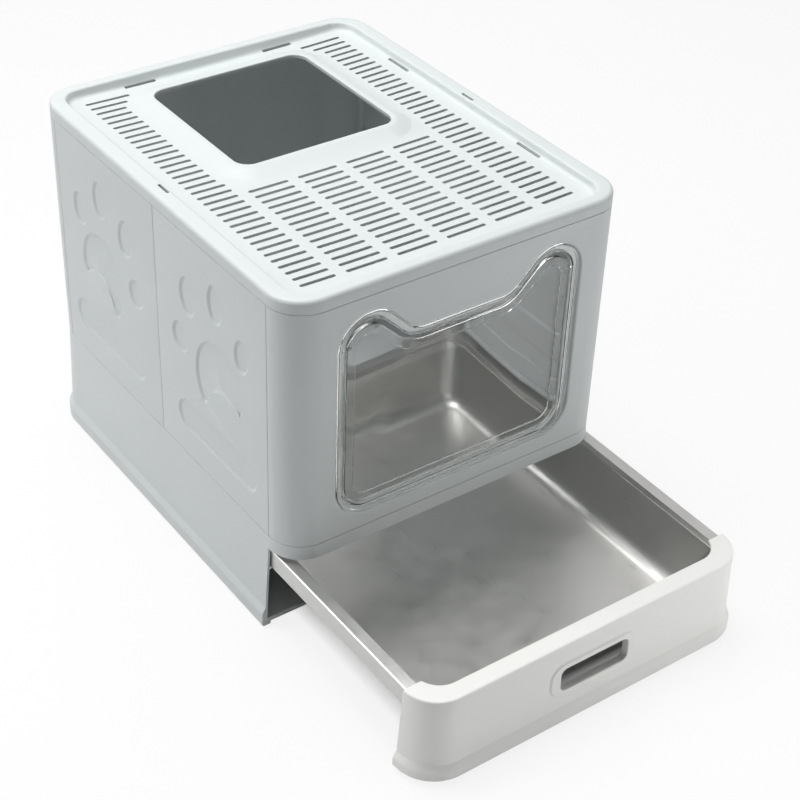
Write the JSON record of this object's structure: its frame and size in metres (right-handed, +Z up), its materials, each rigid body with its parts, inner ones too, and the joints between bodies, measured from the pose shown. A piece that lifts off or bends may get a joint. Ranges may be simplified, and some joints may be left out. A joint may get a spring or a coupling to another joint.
{
  "type": "covered litter box",
  "caption": "Covered cat litter box with a vented lid and top entry, folding side walls, a clear swing flap and a steel pan in a pull-out drawer.",
  "frame": {"origin": "on the floor, below the middle of the box with its drawer pulled out as pictured", "axes": "+X to the right, +Y from the drawer's face to the back wall, +Z up"},
  "size_m": [0.4186, 0.7476, 0.412],
  "materials": {
    "housing_plastic": "fine-grained moulded polypropylene, satin",
    "drawer_plastic": "smooth moulded polypropylene, satin",
    "clear_plastic": "clear, polished",
    "pan_steel": "pressed stainless sheet, satin",
    "pin_steel": "plain drawn wire"
  },
  "bodies": {
    "housing": {"base": "housing_plastic", "front_panel": "housing_plastic", "back_panel": "housing_plastic", "side_panel_left_front": "housing_plastic", "side_panel_left_rear": "housing_plastic", "fold_pin_left": "pin_steel", "corner_pin_front_left": "pin_steel", "corner_pin_back_left": "pin_steel", "flap_pin_left": "clear_plastic", "side_panel_right_front": "housing_plastic", "side_panel_right_rear": "housing_plastic", "fold_pin_right": "pin_steel", "corner_pin_front_right": "pin_steel", "corner_pin_back_right": "pin_steel", "flap_pin_right": "clear_plastic", "window_frame": "clear_plastic"},
    "drawer": {"drawer_front": "drawer_plastic", "steel_pan": "pan_steel"},
    "flap": {"window_flap": "clear_plastic"},
    "lid": {"lid": "housing_plastic"}
  },
  "joints": [
    {"name": "drawer_slide", "type": "slide", "parent": "housing", "child": "drawer", "axis": [0, -1, 0], "range_m": [-0.233, 0.06]},
    {"name": "flap_swing", "type": "hinge", "parent": "housing", "child": "flap", "pos_m": [0, -0.127, 0.342], "axis": [1, 0, 0], "range_deg": [-80, 80]},
    {"name": "lid_lift", "type": "slide", "parent": "housing", "child": "lid", "axis": [0, 0, 1], "range_m": [0, 0.12]}
  ]
}
